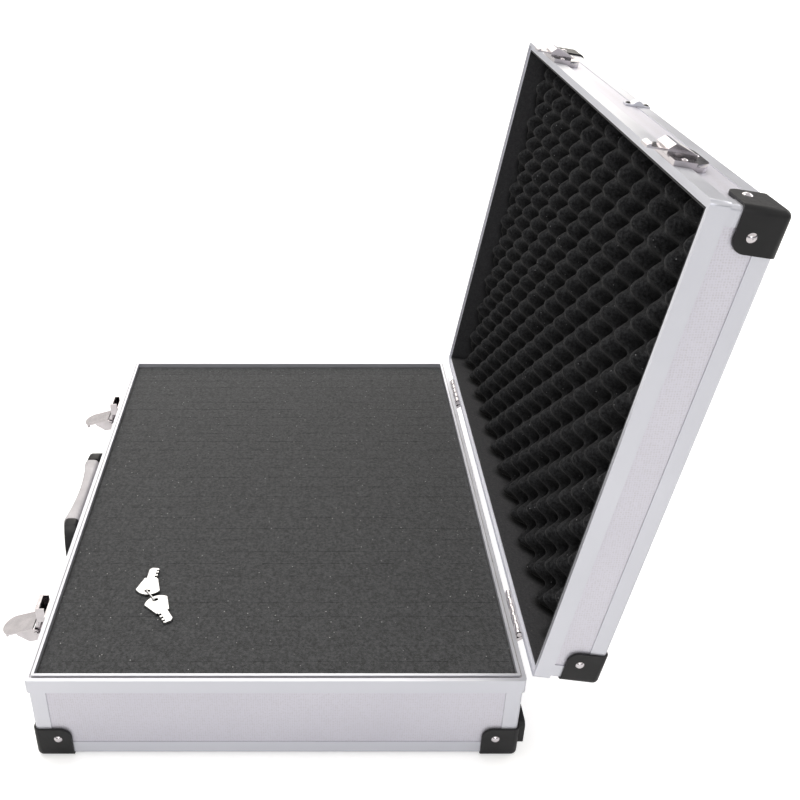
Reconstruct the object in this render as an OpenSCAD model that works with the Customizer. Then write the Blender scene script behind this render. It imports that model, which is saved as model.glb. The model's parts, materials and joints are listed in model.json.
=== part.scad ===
// Aluminium-framed carrying case with cubed foam, egg-crate lid foam, draw latches, handle and keys.
// The origin is on the ground under the middle of the base. X is the width, -Y the front, +Z up.
// The case is drawn as it stands open: the lid is built closed, then turned back about its hinges.

/* [Case] */
// Width of the case over the rims
case_width = 460; // [380:1:560]
// Depth of the case over the rims
case_depth = 350; // [280:1:420]
// Height of the base walls from their lower edge to the rim
base_height = 75; // [70:1:110]
// Height of the lid from its rim to the roof
lid_height = 45; // [40:1:80]
// Angle the lid stands open at
lid_angle = 99; // [90:1:105]
// Thickness of the rims from the outer face to the inner face
rim_wall = 6; // [5:0.5:8]
// Height of the rim's outer face
rim_face = 11.5; // [8:0.5:16]
// How far the rims stand outside the walls
rim_flare = 1.3; // [0.5:0.1:2.5]
// Width of the corner and edge extrusions
frame_face = 12; // [8:1:18]
// Radius of the rounded outer edges of the case
edge_round = 3; // [2:0.5:5]
// Gap between the two rims when closed
rim_gap = 0.4; // [0.2:0.1:1]

/* [Corner caps] */
// Thickness of the plastic caps
cap_wall = 1.5; // [1:0.1:3]
// Reach of a cap along the end walls
cap_reach_y = 27; // [20:1:35]
// Reach of a cap along the front and back walls
cap_reach_x = 30; // [20:1:40]
// Height of a cap on the walls
cap_height = 26; // [18:1:35]
// Radius of the head of a cap rivet
cap_rivet_head = 3; // [2:0.1:4]

/* [Foam] */
// Depth of the base foam's top below the rim
foam_drop = 3.5; // [1:0.5:8]
// Thickness of the solid pad below the cubed foam
pad_thickness = 8; // [5:1:15]
// Depth of the lid foam's crests below the lid rim
lid_foam_drop = 11; // [6:1:20]
// Height of the lid foam's crests over its valleys
lid_foam_wave = 17; // [8:1:20]
// Spacing of the lid foam's crests
lid_foam_pitch = 33.5; // [24:0.5:40]

/* [Hardware] */
// Distance of a hinge from the middle of the case
hinge_x = 164; // [120:1:180]
// Length of a hinge
hinge_length = 44; // [30:1:70]
// Distance of the hinge axis behind the rims
hinge_offset = 2.8; // [2.6:0.1:4]
// Distance of a latch from the middle of the case
latch_x = 150; // [110:1:180]
// Angle of the open lever above its closed position
lever_angle = 74; // [60:1:90]
// Length of the handle over its end arms
handle_length = 140; // [120:1:180]
// Height of the handle from its pivots to its top edge
handle_reach = 34; // [28:1:45]
// Depth of the handle pivots below the base rim
handle_drop = 38; // [34:1:42]

/* [Hidden] */
$fn = 64;

floor_z = cap_wall;
rim_z = floor_z + base_height;
lid_plane_z = rim_z + rim_gap;
hinge_z = rim_z + rim_gap / 2;
half_width = case_width / 2;
half_depth = case_depth / 2;
hinge_y = half_depth + hinge_offset;
// the walls stand back from the rims
shell_x = half_width - rim_flare;
shell_y = half_depth - rim_flare;
shell_wall = rim_wall - rim_flare;
// the panels stand back a little from the extrusions around them
panel_recess = 0.6;
panel_wall = shell_wall - panel_recess;
inner_x = half_width - rim_wall;
inner_y = half_depth - rim_wall;
// the rims meet on an outer flat, with a raised lip inside it on the base
rim_flat = 3;
rim_groove = 1;
lip_height = 1.2;
lip_pocket = lip_height + 0.2;
slip = 0.05;

rivet_shank = 1.6;
cap_rivet_y = half_depth - 17;
cap_rivet_x = half_width - 21;
cap_rivet_h = 16.5;
cap_round = 8;

foot_width = 20;
foot_height = 22;
foot_depth = 4.5;
foot_h = 5.5;
foot_x = half_width - 15;
foot_rivet_h = foot_h + foot_height / 2;

lining_wall = 1.5;
soft_gap = 0.5;

barrel_radius = 2.6;
hinge_pin_radius = 1.2;
hinge_leaf = 1.2;
hinge_leaf_height = 11;
knuckle_count = 5;
knuckle_gap = 0.2;
hinge_rivet_step = 15;
hinge_rivet_h = 6.5;
small_rivet_head = 2.1;
small_rivet_shank = 1.5;
small_rivet_depth = 5;

// latch sizes: w is the distance out from the wall, h the height over the base rim
plate_half = 17.5;
plate_out = 3.1;
plate_top = -1;
plate_bottom = -71.8;
pivot_w = 9.5;
pivot_h = -26;
lever_half = 10;
cheek_wall = 1.2;
cheek_out = lever_half - 0.1;
lever_length = 32.2;
lever_root = 5;
cheek_end = 19;
lever_top = 7.2;
lever_bottom = 6;
claw_half = 7.9;
claw_arm = 4.5;
claw_arm_angle = 15;
claw_w = pivot_w + claw_arm * cos(claw_arm_angle);
claw_h = pivot_h + claw_arm * sin(claw_arm_angle);
pin_radius = 1.2;
hub_radius = 2.6;
ear_in = 10.8;
ear_out = 12.4;
lip_in = 1.7;
lock_h = -65.2;
lock_radius = 6;
collar_out = 15.5;
plug_radius = 4.95;
nose_out = 12.4;
nose_wall = 1.6;
nose_reach = 8.9;
latch_rivet_x = 14;
latch_rivet_h = [-16.5, -40, -56];
keeper_half = 20;
keeper_top = 24;
keeper_out = 4.6;
keeper_rivets_at = [[-15, 8], [15, 8], [0, 20.5]];

clip_x = -3;
clip_half = 4;
clip_low = 24.5;
clip_high = 43.5;
clip_tab = 1.1;
clip_crown = 4;

handle_half = handle_length / 2;
arm_width = 25;
arm_in = handle_half - arm_width;
shoulder_round = 22;
grip_height = 21;
grip_collar = 3;
// distances out from the wall: the handle's inner side, its pivots, the grip and the arms
handle_in = 4;
handle_pivot_w = 9;
grip_waist_out = 14;
grip_end_out = 18;
arm_root_out = 16.5;
arm_tip_out = 11.5;
lug_wall = 3;
lug_gap = 0.15;
arm_foot = arm_width - 2 * lug_wall - 2 * lug_gap;
handle_pin_radius = 2;

key_wall = 2.2;
key_rest_z = rim_z - foam_drop + slip;
// the wire link runs between these two points, one in each key's hole
link_from = [138.45, -104];
link_to = [148.9, -96.2];
link_wire = 0.6;
link_bend = key_wall / 2 + link_wire + 0.1;
link_length = norm(link_to - link_from);
link_angle = atan2(link_to[1] - link_from[1], link_to[0] - link_from[0]);

// ---------------------------------------------------------------- shared shapes

// Repeats its children mirrored left to right.
module both_sides() {
    for (side = [0, 1])
        mirror([side, 0, 0])
            children();
}

// Repeats its children at the four corners.
module four_corners() {
    for (side = [0, 1])
        for (end = [0, 1])
            mirror([side, 0, 0])
                mirror([0, end, 0])
                    children();
}

// A centred rectangle with rounded corners.
module rounded_rectangle(half_x, half_y, radius) {
    square([2 * half_x, 2 * (half_y - radius)], center = true);
    square([2 * (half_x - radius), 2 * half_y], center = true);
    for (x = [-1, 1])
        for (y = [-1, 1])
            translate([x * (half_x - radius), y * (half_y - radius)])
                circle(r = radius);
}

// A solid tray shape: rounded upright edges, rounded edges at its lower face and a flat top.
module rounded_tub(half_x, half_y, height, radius) {
    translate([0, 0, radius])
        linear_extrude(height - radius)
            rounded_rectangle(half_x, half_y, radius);
    translate([0, 0, radius / 2])
        cube([2 * (half_x - radius), 2 * (half_y - radius), radius], center = true);
    for (x = [-1, 1])
        translate([x * (half_x - radius), 0, radius])
            rotate([90, 0, 0])
                cylinder(r = radius, h = 2 * (half_y - radius), center = true);
    for (y = [-1, 1])
        translate([0, y * (half_y - radius), radius])
            rotate([0, 90, 0])
                cylinder(r = radius, h = 2 * (half_x - radius), center = true);
    for (x = [-1, 1])
        for (y = [-1, 1])
            translate([x * (half_x - radius), y * (half_y - radius), radius])
                sphere(r = radius);
}

// Moves lid parts, drawn upright with the rim at height 0, onto the standing-open lid.
module on_lid() {
    translate([0, hinge_y, hinge_z])
        rotate([-lid_angle, 0, 0])
            translate([0, -hinge_y, rim_gap / 2])
                children();
}

// Turns a tray shape over, so that its lower face becomes the lid's roof.
module as_lid() {
    translate([0, 0, lid_height])
        mirror([0, 0, 1])
            children();
}

// Draws a side profile of (distance out from the front wall, height) from x = from to x = to.
module front_profile(from, to) {
    translate([0, -shell_y, 0])
        rotate([90, 0, -90])
            translate([0, 0, -to])
                linear_extrude(to - from)
                    children();
}

// A hole or shank along X in front of the wall, at (distance out w, height h).
module front_pin(w, h, radius, from, to) {
    translate([from, -shell_y - w, h])
        rotate([0, 90, 0])
            cylinder(r = radius, h = to - from);
}

// A domed rivet pointing out along +Z: its head starts at height 0, its shank goes down.
module rivet(head, shank, depth) {
    dome = head * 0.45;
    ball = (head * head + dome * dome) / (2 * dome);
    intersection() {
        translate([0, 0, dome - ball])
            sphere(r = ball);
        cylinder(r = head, h = dome);
    }
    translate([0, 0, -depth])
        cylinder(r = shank, h = depth + dome / 4);
}

// ---------------------------------------------------------------- shell pieces

// The two rivet places of one corner cap, as the case's front-right corner.
module cap_rivet_places(cap_out) {
    translate([shell_x + cap_out, -cap_rivet_y, cap_rivet_h])
        rotate([0, 90, 0])
            children();
    translate([cap_rivet_x, -shell_y - cap_out, cap_rivet_h])
        rotate([90, 0, 0])
            children();
}

// Holes for the cap rivets through the walls.
module cap_rivet_holes() {
    four_corners()
        cap_rivet_places(cap_wall)
            translate([0, 0, -shell_wall - 2 * cap_wall])
                cylinder(r = rivet_shank + slip, h = shell_wall + 4 * cap_wall);
}

// A wall panel parallel to XZ, just inside the front of the shell.
module long_panel(height) {
    difference() {
        translate([-shell_x + frame_face, -shell_y + panel_recess, frame_face])
            cube([2 * (shell_x - frame_face), panel_wall, height - rim_face - frame_face]);
        cap_rivet_holes();
    }
}

// A wall panel parallel to YZ, just inside the right end of the shell.
module short_panel(height) {
    difference() {
        translate([shell_x - shell_wall, -shell_y + frame_face, frame_face])
            cube([panel_wall, 2 * (shell_y - frame_face), height - rim_face - frame_face]);
        cap_rivet_holes();
    }
}

// The floor or roof panel.
module flat_panel() {
    translate([-shell_x + frame_face, -shell_y + frame_face, panel_recess])
        cube([2 * (shell_x - frame_face), 2 * (shell_y - frame_face), panel_wall]);
}

// The edge extrusion around the floor or roof: a wall strip and a floor strip in one angle.
module edge_frame() {
    difference() {
        rounded_tub(shell_x, shell_y, frame_face, edge_round);
        translate([0, 0, shell_wall + frame_face / 2])
            cube([2 * inner_x, 2 * inner_y, frame_face], center = true);
        cube([2 * (shell_x - frame_face), 2 * (shell_y - frame_face), 3 * frame_face], center = true);
    }
}

// The four upright corner extrusions, between the edge extrusion and the rim.
module corner_posts(height) {
    translate([0, 0, frame_face])
        linear_extrude(height - rim_face - frame_face)
            difference() {
                rounded_rectangle(shell_x, shell_y, edge_round);
                square([2 * inner_x, 2 * inner_y], center = true);
                square([2 * (shell_x - frame_face), 3 * shell_y], center = true);
                square([3 * shell_x, 2 * (shell_y - frame_face)], center = true);
            }
}

// A flat plate of a corner cap with its far corner rounded, from the origin.
module cap_plate(a, b) {
    linear_extrude(cap_wall + edge_round)
        union() {
            square([a - cap_round, b]);
            square([a, b - cap_round]);
            translate([a - cap_round, b - cap_round])
                circle(r = cap_round);
        }
}

// One corner cap, at the front-right lower corner of a tray shape.
module corner_cap() {
    difference() {
        intersection() {
            translate([0, 0, -cap_wall])
                rounded_tub(shell_x + cap_wall, shell_y + cap_wall, 2 * cap_height, edge_round + cap_wall);
            translate([shell_x + cap_wall, -shell_y - cap_wall, -cap_wall])
                union() {
                    mirror([1, 0, 0])
                        cap_plate(cap_reach_x, cap_reach_y);
                    mirror([1, 0, 0])
                        translate([0, cap_wall + edge_round, 0])
                            rotate([90, 0, 0])
                                cap_plate(cap_reach_x, cap_height + cap_wall);
                    translate([-cap_wall - edge_round, 0, 0])
                        rotate([90, 0, 90])
                            cap_plate(cap_reach_y, cap_height + cap_wall);
                }
        }
        rounded_tub(shell_x, shell_y, 3 * cap_height, edge_round);
        cap_rivet_holes();
    }
}

// All four caps of a tray shape.
module corner_caps() {
    four_corners()
        corner_cap();
}

// ---------------------------------------------------------------- base shell

module base_rim() {
    color("silver")
        difference() {
            union() {
                translate([0, 0, rim_z - rim_face])
                    linear_extrude(rim_face - rim_groove)
                        rounded_rectangle(half_width, half_depth, edge_round);
                translate([0, 0, rim_z - rim_groove])
                    linear_extrude(rim_groove)
                        difference() {
                            rounded_rectangle(half_width, half_depth, edge_round);
                            rounded_rectangle(half_width - rim_flat, half_depth - rim_flat, edge_round / 2);
                        }
                translate([0, 0, rim_z - rim_groove])
                    linear_extrude(rim_groove + lip_height)
                        rounded_rectangle(
                            half_width - rim_flat - rim_groove,
                            half_depth - rim_flat - rim_groove,
                            edge_round / 2);
            }
            translate([0, 0, rim_z])
                cube([2 * inner_x, 2 * inner_y, 3 * rim_face], center = true);
            hinge_rivet_holes(-1);
        }
}

module base_shell() {
    translate([0, 0, floor_z])
        children();
}

module base_floor() {
    color("lightgray")
        base_shell()
            flat_panel();
}

module base_front() {
    color("lightgray")
        difference() {
            base_shell()
                long_panel(base_height);
            latch_rivet_holes();
            handle_rivet_holes();
        }
}

module base_back() {
    color("lightgray")
        difference() {
            base_shell()
                mirror([0, 1, 0])
                    long_panel(base_height);
            foot_rivet_holes();
        }
}

module base_right() {
    color("lightgray")
        base_shell()
            short_panel(base_height);
}

module base_left() {
    color("lightgray")
        base_shell()
            mirror([1, 0, 0])
                short_panel(base_height);
}

module base_bottom_frame() {
    color("silver")
        base_shell()
            edge_frame();
}

module base_corner_posts() {
    color("silver")
        base_shell()
            corner_posts(base_height);
}

module base_corner_caps() {
    color("dimgray")
        difference() {
            base_shell()
                corner_caps();
            foot_rivet_holes();
        }
}

module base_cap_rivets() {
    color("white")
        base_shell()
            for (side = [0, 1])
                mirror([side, 0, 0]) {
                    cap_rivet_places(cap_wall)
                        rivet(cap_rivet_head, rivet_shank, shell_wall + cap_wall);
                    mirror([0, 1, 0])
                        translate([shell_x + cap_wall, -cap_rivet_y, cap_rivet_h])
                            rotate([0, 90, 0])
                                rivet(cap_rivet_head, rivet_shank, shell_wall + cap_wall);
                    translate([foot_x, shell_y + cap_wall + foot_depth, foot_rivet_h])
                        rotate([-90, 0, 0])
                            rivet(cap_rivet_head, rivet_shank, shell_wall + cap_wall + foot_depth);
                }
}

// Holes for the rivets of the rear feet.
module foot_rivet_holes() {
    base_shell()
        both_sides()
            translate([foot_x, shell_y - 2 * shell_wall, foot_rivet_h])
                rotate([-90, 0, 0])
                    cylinder(r = rivet_shank + slip, h = 4 * shell_wall);
}

module base_rear_feet() {
    color("dimgray")
        difference() {
            base_shell()
                both_sides()
                    translate([foot_x, shell_y + cap_wall, foot_rivet_h])
                        rotate([-90, 0, 0])
                            linear_extrude(foot_depth)
                                rounded_rectangle(foot_width / 2, foot_height / 2, 4);
            foot_rivet_holes();
        }
}

module foam_pad() {
    color("darkgray")
        translate([0, 0, floor_z + shell_wall + pad_thickness / 2])
            cube([2 * (inner_x - soft_gap), 2 * (inner_y - soft_gap), pad_thickness], center = true);
}

module foam_cubed() {
    low = floor_z + shell_wall + pad_thickness;
    color("gray")
        difference() {
            translate([-inner_x + soft_gap, -inner_y + soft_gap, low])
                cube([2 * (inner_x - soft_gap), 2 * (inner_y - soft_gap), rim_z - foam_drop - low]);
            link_dent();
        }
}

// ---------------------------------------------------------------- lid shell

module lid_rim() {
    color("silver")
        on_lid()
            difference() {
                linear_extrude(rim_face)
                    rounded_rectangle(half_width, half_depth, edge_round);
                linear_extrude(2 * lip_pocket, center = true)
                    rounded_rectangle(half_width - rim_flat, half_depth - rim_flat, edge_round / 2);
                cube([2 * inner_x, 2 * inner_y, 3 * rim_face], center = true);
                hinge_rivet_holes(1);
                keeper_rivet_holes();
            }
}

module lid_roof() {
    color("lightgray")
        on_lid()
            as_lid()
                flat_panel();
}

module lid_front() {
    color("lightgray")
        on_lid()
            difference() {
                as_lid()
                    long_panel(lid_height);
                keeper_rivet_holes();
                clip_rivet_holes();
            }
}

module lid_back() {
    color("lightgray")
        on_lid()
            as_lid()
                mirror([0, 1, 0])
                    long_panel(lid_height);
}

module lid_right() {
    color("lightgray")
        on_lid()
            as_lid()
                short_panel(lid_height);
}

module lid_left() {
    color("lightgray")
        on_lid()
            as_lid()
                mirror([1, 0, 0])
                    short_panel(lid_height);
}

module lid_roof_frame() {
    color("silver")
        on_lid()
            difference() {
                as_lid()
                    edge_frame();
                clip_rivet_holes();
            }
}

module lid_corner_posts() {
    color("silver")
        on_lid()
            as_lid()
                corner_posts(lid_height);
}

module lid_corner_caps() {
    color("dimgray")
        on_lid()
            as_lid()
                corner_caps();
}

module lid_cap_rivets() {
    color("white")
        on_lid()
            as_lid()
                four_corners()
                    cap_rivet_places(cap_wall)
                        rivet(cap_rivet_head, rivet_shank, shell_wall + cap_wall);
}

module lid_lining() {
    color("gray")
        on_lid()
            translate([0, 0, lip_pocket])
                linear_extrude(lid_height - shell_wall - soft_gap - lip_pocket)
                    difference() {
                        square([2 * (inner_x - slip), 2 * (inner_y - slip)], center = true);
                        square([2 * (inner_x - lining_wall), 2 * (inner_y - lining_wall)], center = true);
                    }
}

// One run of foam waves: a wavy profile along the first axis, pulled out along Y.
module foam_waves(half_run, half_pull, top) {
    count = floor(2 * half_run / lid_foam_pitch);
    pitch = 2 * half_run / count;
    steps = 2 * count;
    rotate([90, 0, 0])
        linear_extrude(2 * half_pull, center = true)
            polygon(concat(
                [[half_run, top], [-half_run, top]],
                [for (i = [0 : steps])
                    [-half_run + i * pitch / 2, lid_foam_drop + (i % 2 == 0 ? lid_foam_wave : 0)]]));
}

module lid_foam() {
    half_x = inner_x - lining_wall - soft_gap;
    half_y = inner_y - lining_wall - soft_gap;
    top = lid_height - shell_wall - soft_gap;
    color("dimgray")
        on_lid()
            foam_waves(half_x, half_y, top);
}

// Places the rivets of the front clip.
module clip_rivet_places() {
    for (h = [clip_low + 2.6, clip_high - 2.6])
        translate([clip_x, -shell_y, h])
            rotate([90, 0, 0])
                children();
}

module clip_rivet_holes() {
    clip_rivet_places()
        cylinder(r = pin_radius + slip, h = 3 * shell_wall, center = true);
}

// A slim strap with a flat tab at each end and a raised middle.
module front_clip() {
    seat = lid_height - frame_face - slip;
    color("silver")
        on_lid()
            difference() {
                front_profile(clip_x - clip_half, clip_x + clip_half)
                    polygon([
                        [-panel_recess, clip_low], [clip_tab - 0.2, clip_low], [clip_tab, clip_low + 5],
                        [clip_crown - 0.6, clip_low + 7.5], [clip_crown, (clip_low + clip_high) / 2],
                        [clip_crown - 0.6, clip_high - 7.5], [clip_tab, clip_high - 5],
                        [clip_tab - 0.2, clip_high], [0, clip_high], [0, seat], [-panel_recess, seat]]);
                clip_rivet_holes();
            }
}

module front_clip_rivets() {
    color("dimgray")
        on_lid()
            clip_rivet_places()
                translate([0, 0, clip_tab])
                    rivet(small_rivet_head, pin_radius, shell_wall + clip_tab);
}

// ---------------------------------------------------------------- hinges

// Places children at both hinges, with the origin on the hinge axis at the hinge's middle.
module at_hinges() {
    both_sides()
        translate([hinge_x, hinge_y, hinge_z])
            children();
}

// The rivet places of the hinge leaves, below (-1) or above (1) the hinge axis of a closed case.
module hinge_rivet_places(direction) {
    for (side = [-1, 1])
        for (i = [-1, 1])
            translate([side * hinge_x + i * hinge_rivet_step, half_depth, direction * hinge_rivet_h])
                rotate([-90, 0, 0])
                    children();
}

// The holes of those rivets: in the base from the rim height down, in the lid from its rim up.
module hinge_rivet_holes(direction) {
    translate([0, 0, direction < 0 ? rim_z : 0])
        hinge_rivet_places(direction)
            translate([0, 0, -small_rivet_depth - slip])
                cylinder(r = small_rivet_shank + slip, h = 3 * small_rivet_depth);
}

// The X position where a knuckle starts, counted from the hinge's left end.
function knuckle_start(i) = -hinge_length / 2 + i * hinge_length / knuckle_count;

// A cylinder along the hinge axis over one knuckle's length.
module knuckle(i, radius, trim) {
    translate([knuckle_start(i) + trim, 0, 0])
        rotate([0, 90, 0])
            cylinder(r = radius, h = hinge_length / knuckle_count - 2 * trim);
}

// A hinge leaf hanging down from its knuckles; first is the number of its first knuckle.
module hinge_leaf(first) {
    difference() {
        union() {
            translate([-hinge_length / 2, -hinge_offset, -hinge_leaf_height - rim_gap / 2])
                cube([hinge_length, hinge_leaf, hinge_leaf_height]);
            for (i = [first : 2 : knuckle_count - 1]) {
                knuckle(i, barrel_radius, knuckle_gap / 2);
                translate([knuckle_start(i) + knuckle_gap / 2, -barrel_radius, -barrel_radius])
                    cube([
                        hinge_length / knuckle_count - knuckle_gap,
                        barrel_radius + hinge_leaf - hinge_offset,
                        barrel_radius]);
            }
        }
        for (i = [1 - first : 2 : knuckle_count - 1])
            knuckle(i, barrel_radius + knuckle_gap, -knuckle_gap / 2);
        rotate([0, 90, 0])
            cylinder(r = hinge_pin_radius + slip, h = 2 * hinge_length, center = true);
    }
}

// The lug below the hinge axis that the lid's leaf comes to rest on when the lid stands open.
module hinge_stop() {
    lean = lid_angle - 90;
    near = 3.2;
    far = 6.4;
    face = (hinge_offset - hinge_leaf) * (cos(lean) + sin(lean) * tan(lean)) - slip;
    for (i = [-1, 1])
        translate([i * (hinge_length / 2 - 2.5), 0, 0])
            rotate([90, 0, -90])
                translate([0, 0, -1.5])
                    linear_extrude(3)
                        mirror([1, 0, 0])
                            polygon([
                                [hinge_leaf - hinge_offset, -9.5],
                                [far, -3.5],
                                [far, face - far * tan(lean)],
                                [near, face - near * tan(lean)],
                                [near, -3],
                                [hinge_leaf - hinge_offset, -5.5]]);
}

module hinge_base_leaves() {
    color("silver")
        difference() {
            at_hinges()
                union() {
                    hinge_leaf(0);
                    hinge_stop();
                }
            hinge_rivet_holes(-1);
        }
}

module hinge_lid_leaves() {
    color("silver")
        on_lid()
            difference() {
                translate([0, 0, -lid_plane_z])
                    at_hinges()
                        mirror([0, 0, 1])
                            hinge_leaf(1);
                hinge_rivet_holes(1);
            }
}

module hinge_pins() {
    head = 0.8;
    color("gray")
        at_hinges()
            rotate([0, 90, 0])
                union() {
                    cylinder(r = hinge_pin_radius, h = hinge_length, center = true);
                    for (end = [0, 1])
                        mirror([0, 0, end])
                            translate([0, 0, hinge_length / 2])
                                cylinder(r = hinge_pin_radius * 1.6, h = head);
                }
}

module hinge_base_rivets() {
    color("white")
        translate([0, hinge_leaf, rim_z])
            hinge_rivet_places(-1)
                rivet(small_rivet_head, small_rivet_shank, small_rivet_depth);
}

module hinge_lid_rivets() {
    color("white")
        on_lid()
            translate([0, hinge_leaf, 0])
                hinge_rivet_places(1)
                    rivet(small_rivet_head, small_rivet_shank, small_rivet_depth);
}

// ---------------------------------------------------------------- latches

// Moves a latch drawn around x = 0, with heights counted from the base rim, to its place.
module at_latch(side) {
    translate([side * latch_x, 0, rim_z])
        children();
}

// The rivet places of one base plate.
module latch_rivet_places() {
    for (side = [-1, 1])
        for (h = latch_rivet_h)
            translate([side * latch_rivet_x, -shell_y, h])
                rotate([90, 0, 0])
                    children();
}

module latch_rivet_holes() {
    for (side = [-1, 1])
        at_latch(side)
            latch_rivet_places()
                cylinder(r = pin_radius + slip, h = 3 * shell_wall, center = true);
}

// The lock's collar: a tube with a slot that the plug's nose turns in.
module lock_collar() {
    translate([0, -shell_y, lock_h])
        rotate([90, 0, 0])
            difference() {
                cylinder(r = lock_radius, h = collar_out);
                translate([0, 0, plate_out])
                    cylinder(r = plug_radius + slip, h = collar_out);
                translate([-2, -2, nose_out - 0.2])
                    cube([2 * lock_radius, 2 * lock_radius, nose_wall + 0.4]);
            }
}

module latch_plate(side) {
    color("silver")
        at_latch(side)
            difference() {
                union() {
                    front_profile(-plate_half, plate_half)
                        polygon([
                            [rim_flare, plate_top], [plate_out, plate_top],
                            [plate_out, plate_bottom], [0, plate_bottom],
                            [0, -rim_face - slip], [rim_flare, -rim_face - slip]]);
                    for (ear = [-1, 1])
                        front_profile(
                            ear > 0 ? ear_in : -ear_out,
                            ear > 0 ? ear_out : -ear_in)
                            union() {
                                polygon([
                                    [plate_out - 1, pivot_h + 7], [pivot_w + 1, pivot_h + 3.4],
                                    [pivot_w + 1, pivot_h - 3.4], [plate_out - 1, pivot_h - 7]]);
                                translate([pivot_w, pivot_h])
                                    circle(r = 3.6);
                            }
                    lock_collar();
                }
                front_pin(pivot_w, pivot_h, pin_radius + slip, -plate_half, plate_half);
                latch_rivet_places()
                    cylinder(r = pin_radius + slip, h = 3 * shell_wall, center = true);
            }
}

module latch_plate_left() {
    latch_plate(-1);
}

module latch_plate_right() {
    latch_plate(1);
}

module latch_rivets() {
    color("white")
        for (side = [-1, 1])
            at_latch(side)
                latch_rivet_places()
                    translate([0, 0, plate_out])
                        rivet(small_rivet_head, pin_radius, shell_wall + plate_out);
}

// The two short pivots of each lever, through an ear and a cheek.
module latch_lever_pins() {
    inner = cheek_out - cheek_wall - 0.65;
    outer = ear_out + 0.65;
    color("silver")
        for (side = [-1, 1])
            at_latch(side)
                both_sides()
                    union() {
                        front_pin(pivot_w, pivot_h, pin_radius, inner, outer);
                        front_pin(pivot_w, pivot_h, pin_radius * 1.6, inner, inner + 0.6);
                        front_pin(pivot_w, pivot_h, pin_radius * 1.6, outer - 0.6, outer);
                    }
}

// Lever profiles are drawn along the lever from its pivot, then turned to its open position.
module lever_profile(from, to) {
    front_profile(from, to)
        translate([pivot_w, pivot_h])
            rotate(lever_angle - 90)
                children();
}

// The lever's flap: straight sides and a rounded tip.
module lever_flap() {
    tip_at = lever_half - lever_length;
    translate([0, -shell_y - pivot_w, pivot_h])
        rotate([90 - lever_angle, 0, 0])
            translate([0, 0, lever_bottom])
                linear_extrude(lever_top - lever_bottom)
                    union() {
                        translate([-lever_half, tip_at])
                            square([2 * lever_half, -lever_root - tip_at]);
                        translate([0, tip_at])
                            circle(r = lever_half);
                    }
}

// The folded lip at the lever's tip, with the window that the lock's nose turns into.
module lever_lip() {
    difference() {
        lever_profile(-6, 6)
            translate([lever_length - 3.4, lip_in])
                square([cheek_wall, lever_bottom - lip_in]);
        lever_profile(-3.4, 3.4)
            translate([lever_length - 5, nose_out - pivot_w - 0.6])
                square([6, nose_wall + 1.1]);
    }
}

module latch_lever(side) {
    color("gainsboro")
        at_latch(side)
            difference() {
                union() {
                    lever_flap();
                    lever_lip();
                    for (cheek = [-1, 1])
                        lever_profile(
                            cheek > 0 ? cheek_out - cheek_wall : -cheek_out,
                            cheek > 0 ? cheek_out : cheek_wall - cheek_out)
                            union() {
                                circle(r = 3.8);
                                polygon([
                                    [-1, 2.5], [lever_root, lever_bottom + 0.6],
                                    [cheek_end, lever_bottom + 0.6], [cheek_end, lever_bottom - 1.6],
                                    [12, -4.3], [5, -4.6], [1, -2]]);
                            }
                }
                front_pin(pivot_w, pivot_h, pin_radius + slip, -plate_half, plate_half);
                front_pin(claw_w, claw_h, pin_radius + slip, -plate_half, plate_half);
            }
}

module latch_lever_left() {
    latch_lever(-1);
}

module latch_lever_right() {
    latch_lever(1);
}

// The claw: an outer bar with a catching lip, two side walls and a hub on the lever's pin.
module latch_claw(side) {
    claw_top = -2;
    bar_out = 12.5;
    color("gainsboro")
        at_latch(side)
            difference() {
                union() {
                    front_profile(-claw_half, claw_half)
                        polygon([
                            [9.7, claw_top], [bar_out, claw_top], [bar_out, -14], [14.4, -19.5],
                            [15.2, -23], [12.2, -24.8], [11.2, -15], [11.2, -4.2], [9.7, -4.2]]);
                    front_profile(-claw_half, claw_half)
                        translate([claw_w, claw_h])
                            circle(r = hub_radius);
                    front_profile(-claw_half, claw_half)
                        polygon([[5.4, -14], [11.4, -14], [11.4, -15], [5.4, -15]]);
                    for (wall = [-1, 1])
                        front_profile(
                            wall > 0 ? claw_half - 0.8 : -claw_half,
                            wall > 0 ? claw_half : 0.8 - claw_half)
                            polygon([[5.4, claw_top], [bar_out, claw_top], [bar_out, -15], [5.4, -15]]);
                }
                front_pin(claw_w, claw_h, pin_radius + slip, -plate_half, plate_half);
            }
}

module latch_claw_left() {
    latch_claw(-1);
}

module latch_claw_right() {
    latch_claw(1);
}

// The pin that carries the claw in the lever's cheeks, with a thin head at each end.
module claw_pin(side) {
    end = cheek_out + 0.6;
    color("silver")
        at_latch(side)
            union() {
                front_pin(claw_w, claw_h, pin_radius, -end, end);
                front_pin(claw_w, claw_h, pin_radius * 1.4, -end, -cheek_out);
                front_pin(claw_w, claw_h, pin_radius * 1.4, cheek_out, end);
            }
}

module claw_pin_left() {
    claw_pin(-1);
}

module claw_pin_right() {
    claw_pin(1);
}

// The round key plug with its key slot and the bolt nose on its side.
module lock_plug(side) {
    color("silver")
        at_latch(side)
            translate([0, -shell_y, lock_h])
                rotate([90, 0, 0])
                    difference() {
                        union() {
                            translate([0, 0, plate_out + slip])
                                cylinder(r = plug_radius, h = collar_out - plate_out);
                            translate([0, -1.2, nose_out])
                                cube([nose_reach, 2.4, nose_wall]);
                        }
                        translate([-0.5, -3.2, nose_out + nose_wall + 0.1])
                            cube([1, 6.4, 4]);
                    }
}

module lock_plug_left() {
    lock_plug(-1);
}

module lock_plug_right() {
    lock_plug(1);
}

// ---------------------------------------------------------------- keepers on the lid

// The rivet places of one keeper, with heights counted from the lid rim.
module keeper_rivet_places() {
    for (at = keeper_rivets_at)
        translate([at[0], -shell_y, at[1]])
            rotate([90, 0, 0])
                children();
}

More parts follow.
